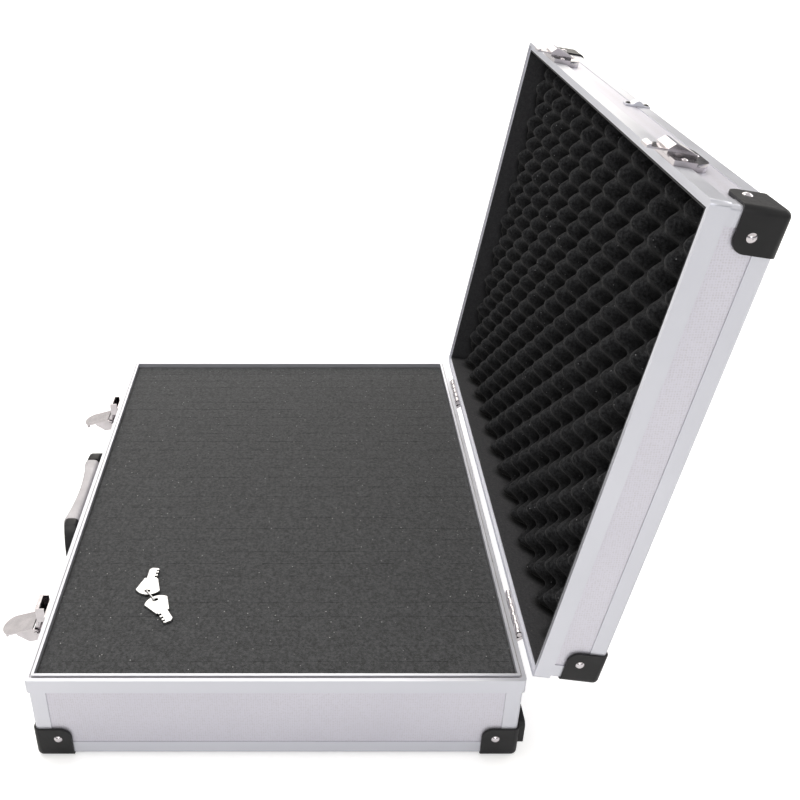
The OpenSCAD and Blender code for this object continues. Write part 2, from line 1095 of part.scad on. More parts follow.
module keeper_rivet_holes() {
    for (side = [-1, 1])
        translate([side * latch_x, 0, 0])
            keeper_rivet_places()
                cylinder(r = pin_radius + slip, h = 4 * shell_wall, center = true);
}

// A stamped plate with a raised hood and a barbed tongue that hangs below the lid rim.
module keeper(side) {
    color("gainsboro")
        on_lid()
            translate([side * latch_x, 0, 0])
                difference() {
                    union() {
                        intersection() {
                            front_profile(-keeper_half, keeper_half)
                                polygon([
                                    [rim_flare, 0.3], [keeper_out, 0.3], [keeper_out, keeper_top],
                                    [-panel_recess, keeper_top], [-panel_recess, rim_face + slip],
                                    [rim_flare, rim_face + slip]]);
                            translate([0, -shell_y, 0])
                                rotate([90, 0, 0])
                                    linear_extrude(40, center = true)
                                        union() {
                                            translate([0, keeper_top - 12])
                                                rounded_rectangle(keeper_half, 12, 10);
                                            translate([-keeper_half, -5])
                                                square([2 * keeper_half, 15]);
                                        }
                        }
                        front_profile(-10, 10)
                            polygon([
                                [keeper_out - 1, 0.3], [keeper_out, -1.2], [8.2, -1.2], [11.7, 2.5],
                                [11.4, 5], [7, 17], [keeper_out - 1, 17]]);
                        front_profile(-5.5, 5.5)
                            polygon([
                                [5.9, 0], [5.9, -12.4], [7.6, -12.4], [9.05, -9.75],
                                [7.1, -9.75], [7.1, 0]]);
                    }
                    keeper_rivet_places()
                        cylinder(r = pin_radius + slip, h = 4 * shell_wall, center = true);
                }
}

module keeper_left() {
    keeper(-1);
}

module keeper_right() {
    keeper(1);
}

module keeper_rivets() {
    color("white")
        on_lid()
            for (side = [-1, 1])
                translate([side * latch_x, 0, 0])
                    keeper_rivet_places()
                        translate([0, 0, keeper_out])
                            rivet(small_rivet_head, pin_radius, shell_wall + keeper_out);
}

// ---------------------------------------------------------------- handle

// Places children at the two handle mounts, mirrored, with heights counted from the base rim.
module at_handle() {
    translate([0, 0, rim_z])
        both_sides()
            children();
}

// The rivet places of one mount.
module handle_rivet_places() {
    for (h = [-handle_drop - 11, -handle_drop + 11])
        translate([handle_half - arm_width / 2, -shell_y, h])
            rotate([90, 0, 0])
                children();
}

module handle_rivet_holes() {
    at_handle()
        handle_rivet_places()
            cylinder(r = rivet_shank + slip, h = 4 * shell_wall, center = true);
}

module handle_mounts() {
    mount_wall = 2.5;
    color("dimgray")
        at_handle()
            difference() {
                union() {
                    front_profile(arm_in, handle_half + 2)
                        polygon([
                            [-panel_recess, -handle_drop + 16], [mount_wall, -handle_drop + 16],
                            [mount_wall, -handle_drop - 16], [-panel_recess, -handle_drop - 16]]);
                    for (x = [arm_in, handle_half - lug_wall])
                        front_profile(x, x + lug_wall)
                            union() {
                                polygon([
                                    [0, -handle_drop + 7], [handle_pivot_w, -handle_drop + 4.5],
                                    [handle_pivot_w, -handle_drop - 4.5], [0, -handle_drop - 7]]);
                                translate([handle_pivot_w, -handle_drop])
                                    circle(r = 4.5);
                            }
                }
                front_pin(handle_pivot_w, -handle_drop, handle_pin_radius + slip, 0, half_width);
                handle_rivet_places()
                    cylinder(r = rivet_shank + slip, h = 4 * shell_wall, center = true);
            }
}

module handle_mount_rivets() {
    color("white")
        at_handle()
            handle_rivet_places()
                translate([0, 0, 2.5])
                    rivet(cap_rivet_head, rivet_shank, shell_wall + 2.5);
}

module handle_pins() {
    head = 1;
    color("silver")
        at_handle()
            union() {
                front_pin(handle_pivot_w, -handle_drop, handle_pin_radius, arm_in - head, handle_half + head);
                front_pin(handle_pivot_w, -handle_drop, handle_pin_radius * 1.5, arm_in - head, arm_in);
                front_pin(handle_pivot_w, -handle_drop, handle_pin_radius * 1.5, handle_half, handle_half + head);
            }
}

// The rounded section of the handle's bar, in (distance out, height).
module bar_section(out) {
    translate([(handle_in + out) / 2, handle_reach - handle_drop - grip_height / 2])
        rounded_rectangle((out - handle_in) / 2, grip_height / 2, 4.2);
}

// How far out an arm reaches at a distance x from the middle of the handle.
function arm_out(x) = arm_root_out - (x - arm_in) * (arm_root_out - arm_tip_out) / arm_width;

// The front view of an arm: its outer shoulder is a quarter round.
module arm_outline() {
    top = handle_reach - handle_drop;
    inner = arm_in - 1;
    translate([handle_half - shoulder_round, top - shoulder_round])
        circle(r = shoulder_round);
    translate([inner, top - 2 * shoulder_round])
        square([handle_half - shoulder_round - inner, 2 * shoulder_round]);
    translate([inner, top - 2 * shoulder_round])
        square([handle_half - inner, shoulder_round]);
}

// The top view of an arm: it leans in towards the case at its outer end.
module arm_plan() {
    inner = arm_in - 1;
    outer = handle_half + 1;
    polygon([
        [inner, -shell_y], [inner, -shell_y - arm_out(inner)],
        [outer, -shell_y - arm_out(outer)], [outer, -shell_y]]);
}

module handle_arms() {
    foot_from = arm_in + lug_wall + lug_gap;
    color("dimgray")
        at_handle()
            difference() {
                union() {
                    intersection() {
                        front_profile(arm_in, handle_half)
                            bar_section(arm_root_out);
                        translate([0, -shell_y, 0])
                            rotate([90, 0, 0])
                                linear_extrude(2 * arm_root_out)
                                    arm_outline();
                        translate([0, 0, -2 * handle_drop])
                            linear_extrude(2 * handle_drop)
                                arm_plan();
                    }
                    front_profile(foot_from, foot_from + arm_foot)
                        union() {
                            translate([handle_pivot_w, -handle_drop])
                                circle(r = 4.5);
                            translate([handle_pivot_w - 3, -handle_drop])
                                square([6, handle_reach - grip_height + 3]);
                        }
                }
                front_pin(handle_pivot_w, -handle_drop, handle_pin_radius + slip, 0, half_width);
            }
}

// The grip is waisted: its outer side is hollowed between two collars.
module handle_grip() {
    half = arm_in - grip_collar;
    sag = grip_end_out - grip_waist_out;
    hollow = (half * half + sag * sag) / (2 * sag);
    color("darkgray")
        translate([0, 0, rim_z])
            difference() {
                front_profile(-arm_in, arm_in)
                    bar_section(grip_end_out);
                translate([0, -shell_y - grip_waist_out - hollow, handle_reach - handle_drop])
                    cylinder(r = hollow, h = 3 * grip_height, center = true, $fn = 720);
            }
}

// ---------------------------------------------------------------- keys

// A key's outline: a bow that narrows from a curved end to the toothed blade along +X.
module key_outline() {
    difference() {
        union() {
            intersection() {
                translate([6.5, 0])
                    circle(r = 11.5);
                polygon([
                    [-6, -11.4], [13.5, -5.2], [13.5, 5.2], [-6, 11.4]]);
            }
            polygon([[13, -4.2], [24.5, -4.2], [25.5, -3], [25.5, 1.8], [23.5, 3.7], [13, 3.7]]);
        }
        translate([-1, 0])
            rounded_rectangle(1.3, 2.2, 1.25);
        for (tooth = [[14.8, 1.8], [18.6, 1.7], [22.2, 1.4]])
            translate([tooth[0], -5])
                square([tooth[1], 2.8]);
    }
}

module key(x, y, angle) {
    color("gainsboro")
        translate([x, y, key_rest_z])
            rotate(angle)
                linear_extrude(key_wall)
                    key_outline();
}

module key_upper() {
    key(137.5, -103, 176);
}

module key_lower() {
    key(149.2, -94.9, 31);
}

// Moves children drawn along +X to the link, at the height of the middle of the keys.
module at_link() {
    translate([link_from[0], link_from[1], key_rest_z + key_wall / 2])
        rotate(link_angle)
            children();
}

// A flattened wire loop that passes down through both keys' holes and back below them.
module key_link() {
    run = link_length - 2 * link_bend;
    color("gainsboro")
        at_link() {
            for (height = [-link_bend, link_bend])
                translate([link_length / 2, 0, height])
                    rotate([0, 90, 0])
                        cylinder(r = link_wire - 0.02, h = run + 0.4, center = true);
            for (end = [0, 1])
                translate([link_length / 2, 0, 0])
                    mirror([end, 0, 0])
                        translate([run / 2, 0, 0])
                            intersection() {
                                rotate([90, 0, 0])
                                    rotate_extrude()
                                        translate([link_bend, 0])
                                            circle(r = link_wire);
                                translate([0, -2 * link_wire, -2 * link_bend])
                                    cube([3 * link_bend, 4 * link_wire, 4 * link_bend]);
                            }
        }
}

// The dent that the lower run of the link lies in.
module link_dent() {
    margin = link_wire + 0.4;
    at_link()
        translate([-margin, -2 * link_wire, -link_bend - link_wire - 0.3])
            cube([link_length + 2 * margin, 4 * link_wire, 3 * link_bend]);
}

// ---------------------------------------------------------------- the part

base_floor();
base_front();
base_back();
base_left();
base_right();
base_rim();
base_bottom_frame();
base_corner_posts();
base_corner_caps();
base_cap_rivets();
base_rear_feet();
foam_pad();
foam_cubed();
lid_roof();
lid_front();
lid_back();
lid_left();
lid_right();
lid_rim();
lid_roof_frame();
lid_corner_posts();
lid_corner_caps();
lid_cap_rivets();
lid_lining();
lid_foam();
front_clip();
front_clip_rivets();
hinge_base_leaves();
hinge_lid_leaves();
hinge_pins();
hinge_base_rivets();
hinge_lid_rivets();
latch_plate_left();
latch_plate_right();
latch_rivets();
latch_lever_pins();
latch_lever_left();
latch_lever_right();
latch_claw_left();
latch_claw_right();
claw_pin_left();
claw_pin_right();
lock_plug_left();
lock_plug_right();
keeper_left();
keeper_right();
keeper_rivets();
handle_mounts();
handle_mount_rivets();
handle_pins();
handle_arms();
handle_grip();
key_upper();
key_lower();
key_link();
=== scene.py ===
"""Blender scene for the open, foam-lined carrying case. Metres, in the CAD frame."""

import json
import math
import random

import bpy
import bmesh
from mathutils import Matrix, Vector, noise


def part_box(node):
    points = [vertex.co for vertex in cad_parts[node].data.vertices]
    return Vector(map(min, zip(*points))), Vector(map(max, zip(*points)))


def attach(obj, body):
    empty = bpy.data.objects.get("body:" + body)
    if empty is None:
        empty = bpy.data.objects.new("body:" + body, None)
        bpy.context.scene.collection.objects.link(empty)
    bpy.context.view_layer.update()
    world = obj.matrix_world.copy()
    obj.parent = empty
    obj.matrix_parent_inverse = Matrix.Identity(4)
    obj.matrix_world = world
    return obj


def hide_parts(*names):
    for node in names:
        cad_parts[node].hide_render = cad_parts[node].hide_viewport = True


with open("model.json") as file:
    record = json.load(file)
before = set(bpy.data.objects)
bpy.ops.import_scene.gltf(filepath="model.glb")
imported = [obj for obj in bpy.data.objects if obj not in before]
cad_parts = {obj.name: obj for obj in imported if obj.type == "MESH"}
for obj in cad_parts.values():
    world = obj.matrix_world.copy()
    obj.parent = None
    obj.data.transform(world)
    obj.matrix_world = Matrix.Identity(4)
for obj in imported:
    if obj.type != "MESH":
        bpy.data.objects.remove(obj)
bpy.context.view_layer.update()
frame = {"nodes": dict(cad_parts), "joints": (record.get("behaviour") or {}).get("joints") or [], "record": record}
nodes = frame["nodes"]
joints = {joint["name"]: joint for joint in frame["joints"]}
MM = 0.001

# ------------------------------------------------------------------ sizes from the frame

lid_joint = joints["lid_hinge"]
hinge_at = Vector(lid_joint["pos_m"])
lid_angle = math.radians(-lid_joint["range_deg"][0])
# takes a point of the closed lid to where it is on the open lid
opened = (
    Matrix.Translation(hinge_at)
    @ Matrix.Rotation(-lid_angle, 4, "X")
    @ Matrix.Translation(-hinge_at)
)


def closed_box(name):
    """Lowest and highest corner of a lid node, with the lid turned shut."""
    shut = opened.inverted()
    points = [shut @ vertex.co for vertex in nodes[name].data.vertices]
    low = Vector(min(p[i] for p in points) for i in range(3))
    high = Vector(max(p[i] for p in points) for i in range(3))
    return low, high


# ------------------------------------------------------------------ node helpers


def new_material(name):
    """An empty node material with its output and a principled shader linked to it."""
    made = bpy.data.materials.new(name)
    made.use_nodes = True
    tree = made.node_tree
    tree.nodes.clear()
    output = tree.nodes.new("ShaderNodeOutputMaterial")
    shader = tree.nodes.new("ShaderNodeBsdfPrincipled")
    tree.links.new(shader.outputs["BSDF"], output.inputs["Surface"])
    return made, tree, shader


def position(tree):
    """Object coordinates in metres."""
    return tree.nodes.new("ShaderNodeTexCoord").outputs["Object"]


def noise_value(tree, scale, detail=3.0, roughness=0.5):
    """A noise texture's factor; scale counts per metre."""
    texture = tree.nodes.new("ShaderNodeTexNoise")
    texture.inputs["Scale"].default_value = scale
    texture.inputs["Detail"].default_value = detail
    texture.inputs["Roughness"].default_value = roughness
    tree.links.new(position(tree), texture.inputs["Vector"])
    return texture.outputs["Fac"]


def voronoi_distance(tree, scale, randomness=1.0):
    """Distance to the nearest cell centre of a Voronoi texture; scale counts per metre."""
    texture = tree.nodes.new("ShaderNodeTexVoronoi")
    texture.inputs["Scale"].default_value = scale
    texture.inputs["Randomness"].default_value = randomness
    tree.links.new(position(tree), texture.inputs["Vector"])
    return texture.outputs["Distance"]


def ramp(tree, value, stops):
    """A colour ramp over value; stops are (position, grey or colour)."""
    made = tree.nodes.new("ShaderNodeValToRGB")
    elements = made.color_ramp.elements
    while len(elements) < len(stops):
        elements.new(0.5)
    for element, (place, colour) in zip(elements, stops):
        element.position = place
        rgb = (colour,) * 3 if isinstance(colour, (int, float)) else tuple(colour)
        element.color = (*rgb, 1.0)
    tree.links.new(value, made.inputs["Fac"])
    return made.outputs["Color"]


def mix(tree, factor, first, second):
    """A colour mix; first and second are colours or sockets."""
    made = tree.nodes.new("ShaderNodeMix")
    made.data_type = "RGBA"
    for socket, value in (("A", first), ("B", second)):
        target = [s for s in made.inputs if s.name == socket and s.type == "RGBA"][0]
        if isinstance(value, bpy.types.NodeSocket):
            tree.links.new(value, target)
        else:
            target.default_value = (*value, 1.0)
    factor_input = made.inputs["Factor"]
    if isinstance(factor, bpy.types.NodeSocket):
        tree.links.new(factor, factor_input)
    else:
        factor_input.default_value = factor
    return [s for s in made.outputs if s.type == "RGBA"][0]


def painted_crevice_shade(tree, shade_colour, unshaded_colour, reach, full=0.20, none=0.66):
    """Painted shade: a colour that darkens to the shade colour where other surfaces stand closer than reach.

    full and none are how open a spot is when it is all painted shade and when it is free of it.
    """
    near = tree.nodes.new("ShaderNodeAmbientOcclusion")
    near.samples = 8
    near.inputs["Distance"].default_value = reach
    surface = tree.nodes.new("ShaderNodeNewGeometry")
    tree.links.new(surface.outputs["True Normal"], near.inputs["Normal"])
    return mix(tree, ramp(tree, near.outputs["AO"], [(full, 0.0), (none, 1.0)]), shade_colour, unshaded_colour)


def bump(tree, shader, height, distance, strength=1.0, under=None):
    """Adds a bump of a height socket to the shader's normal; under is an earlier bump to keep."""
    made = tree.nodes.new("ShaderNodeBump")
    made.inputs["Distance"].default_value = distance
    made.inputs["Strength"].default_value = strength
    tree.links.new(height, made.inputs["Height"])
    if under is not None:
        tree.links.new(under, made.inputs["Normal"])
    tree.links.new(made.outputs["Normal"], shader.inputs["Normal"])
    return made.outputs["Normal"]


# ------------------------------------------------------------------ materials


def satin_aluminium():
    """Anodised extrusion: cool, softly blurred, cloudy, with painted shade in the seams where it meets parts."""
    made, tree, shader = new_material("satin_aluminium")
    dull = (0.665, 0.675, 0.735)
    pale = (0.72, 0.73, 0.79)
    # painted shade: a dark colour laid into the seams by occlusion, where other parts stand close
    seam_shade = (0.42, 0.40, 0.40)
    seam_shade_reach = 1.8 * MM
    tint = ramp(tree, noise_value(tree, 6.0, 4.0), [(0.3, dull), (0.7, pale)])
    tree.links.new(painted_crevice_shade(tree, seam_shade, tint, seam_shade_reach), shader.inputs["Base Color"])
    shader.inputs["Metallic"].default_value = 0.65
    rough = ramp(tree, noise_value(tree, 40.0, 2.0), [(0.3, 0.28), (0.7, 0.36)])
    tree.links.new(rough, shader.inputs["Roughness"])
    bump(tree, shader, noise_value(tree, 180.0, 2.0), 0.02 * MM, 0.3)
    return made


def embossed_panel():
    """Thin silver sheet with a fine raised dot pattern and painted shade lines at its edges."""
    made, tree, shader = new_material("embossed_panel")
    dull = (0.66, 0.65, 0.725)
    pale = (0.715, 0.705, 0.78)
    dot = (0.61, 0.595, 0.64)
    # painted shade: dark lines laid along the panel's edges by occlusion, where the frame stands close
    seam_shade = (0.22, 0.21, 0.22)
    seam_shade_reach = 1.6 * MM
    tint = ramp(tree, noise_value(tree, 9.0, 4.0), [(0.3, dull), (0.7, pale)])
    grain = ramp(tree, voronoi_distance(tree, 620.0, 0.25), [(0.15, 1.0), (0.55, 0.0)])
    shaded = mix(tree, grain, tint, dot)
    tree.links.new(painted_crevice_shade(tree, seam_shade, shaded, seam_shade_reach), shader.inputs["Base Color"])
    shader.inputs["Metallic"].default_value = 0.6
    shader.inputs["Roughness"].default_value = 0.40
    raised = bump(tree, shader, grain, 0.12 * MM, 0.5)
    bump(tree, shader, noise_value(tree, 1500.0, 2.0), 0.04 * MM, 0.3, under=raised)
    return made


def bright_metal(name, colour, roughness):
    """Plated steel with faint clouding, uneven polish and near-black painted shade in its hollows."""
    made, tree, shader = new_material(name)
    darker = tuple(c * 0.88 for c in colour)
    # painted shade: near black laid into hollows by occlusion, up to 9 mm from facing surfaces
    hollow = (0.012, 0.010, 0.010)
    hollow_shade_reach = 9.0 * MM
    tint = ramp(tree, noise_value(tree, 120.0, 4.0), [(0.35, darker), (0.65, colour)])
    hollow_shaded = painted_crevice_shade(tree, hollow, tint, hollow_shade_reach, full=0.30)
    tree.links.new(hollow_shaded, shader.inputs["Base Color"])
    shader.inputs["Metallic"].default_value = 1.0
    tree.links.new(
        ramp(tree, noise_value(tree, 300.0, 3.0), [(0.3, roughness), (0.75, roughness + 0.08)]),
        shader.inputs["Roughness"],
    )
    bump(tree, shader, noise_value(tree, 900.0, 2.0), 0.02 * MM, 0.35)
    return made


def moulded_plastic(name, colour, roughness, grain=0.05 * MM):
    """Moulded plastic with a fine grained surface."""
    made, tree, shader = new_material(name)
    lighter = tuple(c * 1.25 + 0.002 for c in colour)
    tree.links.new(
        ramp(tree, noise_value(tree, 60.0, 4.0), [(0.35, colour), (0.7, lighter)]),
        shader.inputs["Base Color"],
    )
    tree.links.new(
        ramp(tree, noise_value(tree, 400.0, 3.0), [(0.3, roughness), (0.7, roughness + 0.12)]),
        shader.inputs["Roughness"],
    )
    bump(tree, shader, noise_value(tree, 2200.0, 2.0), grain, 0.6)
    shader.inputs["Specular IOR Level"].default_value = 0.28
    return made


def open_cell_foam(name, dark, light, specks, shade_reach, sheen):
    """Open-cell foam: mottled grey, fully rough, with fine pores, pale specks and painted shade in its hollows."""
    made, tree, shader = new_material(name)
    in_pores = tuple(c * 0.72 for c in dark)
    # painted shade: hollows darkened to an eighth of the dark tone by occlusion
    hollow_shade = tuple(c * 0.12 for c in dark)
    clouds = noise_value(tree, 420.0, 6.0, roughness=0.7)
    mottled = ramp(tree, clouds, [(0.38, dark), (0.62, light)])
    pores = ramp(tree, voronoi_distance(tree, 900.0), [(0.05, 0.0), (0.45, 1.0)])
    toned = mix(tree, pores, in_pores, mottled)
    spots = ramp(tree, voronoi_distance(tree, 150.0), [(0.04, 1.0), (0.075, 0.0)])
    spotted = mix(tree, spots, toned, specks)
    shaded = painted_crevice_shade(tree, hollow_shade, spotted, shade_reach, full=0.34, none=0.95)
    tree.links.new(shaded, shader.inputs["Base Color"])
    shader.inputs["Roughness"].default_value = 0.95
    shader.inputs["Specular IOR Level"].default_value = 0.08
    shader.inputs["Sheen Weight"].default_value = sheen
    shader.inputs["Sheen Roughness"].default_value = 0.5
    pitted = bump(tree, shader, pores, 0.4 * MM, 0.55)
    bump(tree, shader, noise_value(tree, 500.0, 5.0), 0.5 * MM, 0.5, under=pitted)
    return made


MATERIALS = {
    "frame_silver": satin_aluminium(),
    "panel_silver": embossed_panel(),
    "bright_metal": bright_metal("bright_metal", (0.72, 0.685, 0.71), 0.12),
    "key_nickel": bright_metal("key_nickel", (0.80, 0.80, 0.81), 0.24),
    "black_plastic": moulded_plastic("black_plastic", (0.012, 0.012, 0.013), 0.36),
    "grip_grey": moulded_plastic("grip_grey", (0.52, 0.50, 0.52), 0.40, grain=0.03 * MM),
    "base_foam": open_cell_foam(
        "base_foam", (0.042, 0.043, 0.045), (0.090, 0.092, 0.096), specks=(0.46, 0.46, 0.46),
        shade_reach=0.8 * MM, sheen=0.20,
    ),
    # the lid foam gets far darker colours than the base foam; this darkness is painted shade for the upright lid
    # face, which the light from above only grazes, and its wide shade reach paints deep shade into the valleys
    "lid_foam": open_cell_foam(
        "lid_foam", (0.005, 0.005, 0.006), (0.036, 0.037, 0.040), specks=(0.24, 0.24, 0.25),
        shade_reach=22.0 * MM, sheen=0.07,
    ),
    "lining_grey": open_cell_foam(
        "lining_grey", (0.046, 0.046, 0.050), (0.062, 0.062, 0.066), specks=(0.10, 0.10, 0.10),
        shade_reach=6.0 * MM, sheen=0.08,
    ),
}
SLOT_OF = {row["node"]: row["material_slot"] for row in frame["record"]["subparts"]}


def paint(obj, slot_name):
    """Gives a new piece its one material, the one kept for the named record slot."""
    obj.data.materials.clear()
    obj.data.materials.append(MATERIALS[slot_name])


for node_name, node_object in nodes.items():
    for place in range(len(node_object.material_slots)):
        node_object.material_slots[place].material = MATERIALS[SLOT_OF[node_name]]
    if not node_object.material_slots:
        node_object.data.materials.append(MATERIALS[SLOT_OF[node_name]])

# ------------------------------------------------------------------ edges of the CAD pieces


def soften(name, width, segments=2):
    """Rounds the sharp edges of a CAD node a little, so that they catch the light."""
    obj = nodes[name]
    weld = obj.modifiers.new("weld", "WELD")
    weld.merge_threshold = 0.005 * MM
    bevel = obj.modifiers.new("bevel", "BEVEL")
    bevel.width = width
    bevel.segments = segments
    bevel.limit_method = "ANGLE"
    bevel.angle_limit = math.radians(35)
    bevel.use_clamp_overlap = True
    bevel.harden_normals = True


EDGE_WIDTHS = {
    0.7 * MM: ["base_rim", "lid_rim", "base_rear_feet"],
    0.4 * MM: ["base_corner_caps", "lid_corner_caps", "handle_mounts"],
    0.3 * MM: ["keeper_left", "keeper_right", "front_clip", "latch_lever_left", "latch_lever_right"],
    0.2 * MM: [
        "latch_plate_left", "latch_plate_right", "latch_claw_left", "latch_claw_right",
        "lock_plug_left", "lock_plug_right", "hinge_base_leaves", "hinge_lid_leaves",
        "key_upper", "key_lower",
    ],
}
for edge_width, softened in EDGE_WIDTHS.items():
    for softened_name in softened:
        soften(softened_name, edge_width)

# ------------------------------------------------------------------ mesh helpers


def mesh_object(name, vertices, faces, smooth=True):
    """A new mesh object from lists of points and faces, in the row frame."""
    mesh = bpy.data.meshes.new(name)
    mesh.from_pydata([tuple(v) for v in vertices], [], faces)
    work = bmesh.new()
    work.from_mesh(mesh)
    bmesh.ops.recalc_face_normals(work, faces=work.faces)
    work.to_mesh(mesh)
    work.free()
    for polygon in mesh.polygons:
        polygon.use_smooth = smooth
    obj = bpy.data.objects.new(name, mesh)
    bpy.context.scene.collection.objects.link(obj)
    return obj


def height_block(name, xs, ys, height, base_z, place=Matrix.Identity(4)):
    """A closed block whose top follows height(i, j) over the grid xs by ys, down to base_z."""
    columns, rows = len(xs), len(ys)
    top = [Vector((x, y, height(i, j))) for j, y in enumerate(ys) for i, x in enumerate(xs)]
    bottom = [Vector((x, y, base_z)) for y in (ys[0], ys[-1]) for x in (xs[0], xs[-1])]
    faces = [
        (j * columns + i, j * columns + i + 1, (j + 1) * columns + i + 1, (j + 1) * columns + i)
        for j in range(rows - 1)
        for i in range(columns - 1)
    ]
    first = len(top)
    front = [i for i in range(columns)]
    back = [(rows - 1) * columns + i for i in range(columns)]
    left = [j * columns for j in range(rows)]
    right = [j * columns + columns - 1 for j in range(rows)]
    faces.append(tuple(front[::-1] + [first, first + 1]))
    faces.append(tuple(back + [first + 3, first + 2]))
    faces.append(tuple(left + [first + 2, first]))
    faces.append(tuple(right[::-1] + [first + 1, first + 3]))
    faces.append((first, first + 1, first + 3, first + 2))
    return mesh_object(name, [place @ p for p in top + bottom], faces)


# ------------------------------------------------------------------ foam


def scored_lines(low, high, pitch, slit):
    """Grid places from low to high with a slit at each pitch: (place, cell, in the slit)."""
    count = round((high - low) / pitch)
    step = (high - low) / count
    places = [(low, 0, False)]
    for k in range(1, count):
        line = low + k * step
        places.append((line - slit / 2, k - 1, False))
        places.append((line, k, True))
        places.append((line + slit / 2, k, False))
    places.append((high, count - 1, False))
    return places


def cubed_foam():
    """The base foam: a block scored into cubes, each standing a little differently."""
    low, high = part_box("foam_cubed")
    pitch = 15.0 * MM
    slit = 0.25 * MM
    depth = 0.25 * MM
    below_top = 0.1 * MM
    lowest_cube = -0.12 * MM
    highest_cube = 0.06 * MM
    across = scored_lines(low.x, high.x, pitch, slit)
    along = scored_lines(low.y, high.y, pitch, slit)
    rng = random.Random(5)
    lift = {}

    def height(i, j):
        cell = (across[i][1], along[j][1])
        if cell not in lift:
            lift[cell] = rng.uniform(lowest_cube, highest_cube)
        if across[i][2] or along[j][2]:
            return high.z - depth
        return high.z + lift[cell] - below_top

    xs = [place for place, cell, in_slit in across]
    ys = [place for place, cell, in_slit in along]
    piece = height_block("foam_cubed_scored", xs, ys, height, low.z)
    for polygon in piece.data.polygons:
        polygon.use_smooth = False
    paint(piece, "base_foam")
    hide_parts("foam_cubed")
    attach(piece, "base")
    return piece


def foam_pad():
    """The solid pad under the cubes, with softly rounded edges."""
    low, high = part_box("foam_pad")
    xs, ys = (low.x, high.x), (low.y, high.y)
    piece = height_block("foam_pad_solid", xs, ys, lambda i, j: high.z, low.z)
    bevel = piece.modifiers.new("round", "BEVEL")
    bevel.width = 1.5 * MM
    bevel.segments = 3
    paint(piece, "base_foam")
    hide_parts("foam_pad")
    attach(piece, "base")
    return piece


def egg_crate_foam():
    """The lid foam: rows of rounded peaks joined by slanting ridges, around deep hollows."""
    low, high = closed_box("lid_foam")
    pitch = 33.6 * MM
    first_peak = Vector((27.0 * MM, high.y - 3.0 * MM))
    step = 1.9 * MM
    edge_fall = 7.0 * MM
    edge_drop = 0.45
    ridge_share = 0.64
    fullness = 0.72
    columns = round((high.x - low.x) / step)
    rows = round((high.y - low.y) / step)
    xs = [low.x + (high.x - low.x) * i / columns for i in range(columns + 1)]
    ys = [low.y + (high.y - low.y) * j / rows for j in range(rows + 1)]
    crest = low.z + 0.5 * MM
    hollow = low.z + 19.0 * MM

    def height(i, j):
        x, y = xs[i], ys[j]
        across = 2 * math.pi * (x - first_peak.x) / pitch
        along = 2 * math.pi * (y - first_peak.y) / pitch
        ridges = ridge_share * math.cos(across + along)
        ridges += (1 - ridge_share) * math.cos(across - along)
        wave = max(0.0, 0.5 + 0.5 * ridges) ** fullness
        border = min(x - low.x, high.x - x, y - low.y, high.y - y)
        if border < edge_fall:
            wave -= edge_drop * (1 - border / edge_fall) ** 2
        lumps = noise.noise(Vector((x * 90, y * 90, 3.0))) * 0.9 * MM
        lumps += noise.noise(Vector((x * 400, y * 400, 7.0))) * 0.25 * MM
        return hollow + (crest - hollow) * wave + lumps

    piece = height_block("lid_foam_egg_crate", xs, ys, height, high.z, opened)
    paint(piece, "lid_foam")
    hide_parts("lid_foam")
    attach(piece, "lid")
    return piece


def lid_lining():
    """The thin soft board around the inside of the lid walls, with rounded edges."""
    low, high = closed_box("lid_lining")
    wall = 1.5 * MM
    loops = []
    for z in (low.z, high.z):
        for inset in (0.0, wall):
            left, right = low.x + inset, high.x - inset
            front, back = low.y + inset, high.y - inset
            corners = ((left, front), (right, front), (right, back), (left, back))
            loops.append([Vector((x, y, z)) for x, y in corners])
    points = [opened @ point for loop in loops for point in loop]
    faces = []
    for first, second in ((0, 1), (1, 3), (3, 2), (2, 0)):
        for k in range(4):
            after = (k + 1) % 4
            faces.append((first * 4 + k, first * 4 + after, second * 4 + after, second * 4 + k))
    piece = mesh_object("lid_lining_board", points, faces, smooth=False)
    bevel = piece.modifiers.new("round", "BEVEL")
    bevel.width = 0.5 * MM
    bevel.segments = 2
    paint(piece, "lining_grey")
    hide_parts("lid_lining")
    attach(piece, "lid")
    return piece


cubed_foam()
foam_pad()
egg_crate_foam()
lid_lining()

# ------------------------------------------------------------------ handle


def lofted(name, sections):
    """A closed skin over equal-length rings of points."""
    count = len(sections[0])
    points = [point for ring in sections for point in ring]
    faces = [tuple(range(count)), tuple(range((len(sections) - 1) * count, len(sections) * count))]
    for ring in range(len(sections) - 1):
        for k in range(count):
            after = (k + 1) % count
            first, second = ring * count, (ring + 1) * count
            faces.append((first + k, first + after, second + after, second + k))
    return mesh_object(name, points, faces)


def soft_oval(low, high, power, count):
    """Points of a rounded rectangle between two corners, as a superellipse in (Y, Z)."""
    middle = (low + high) / 2
    half = (high - low) / 2
    ring = []
    for k in range(count):
        turn = 2 * math.pi * k / count
        c, s = math.cos(turn), math.sin(turn)
        ring.append(Vector((
            middle.x + half.x * math.copysign(abs(c) ** (2 / power), c),
            middle.y + half.y * math.copysign(abs(s) ** (2 / power), s),
        )))
    return ring


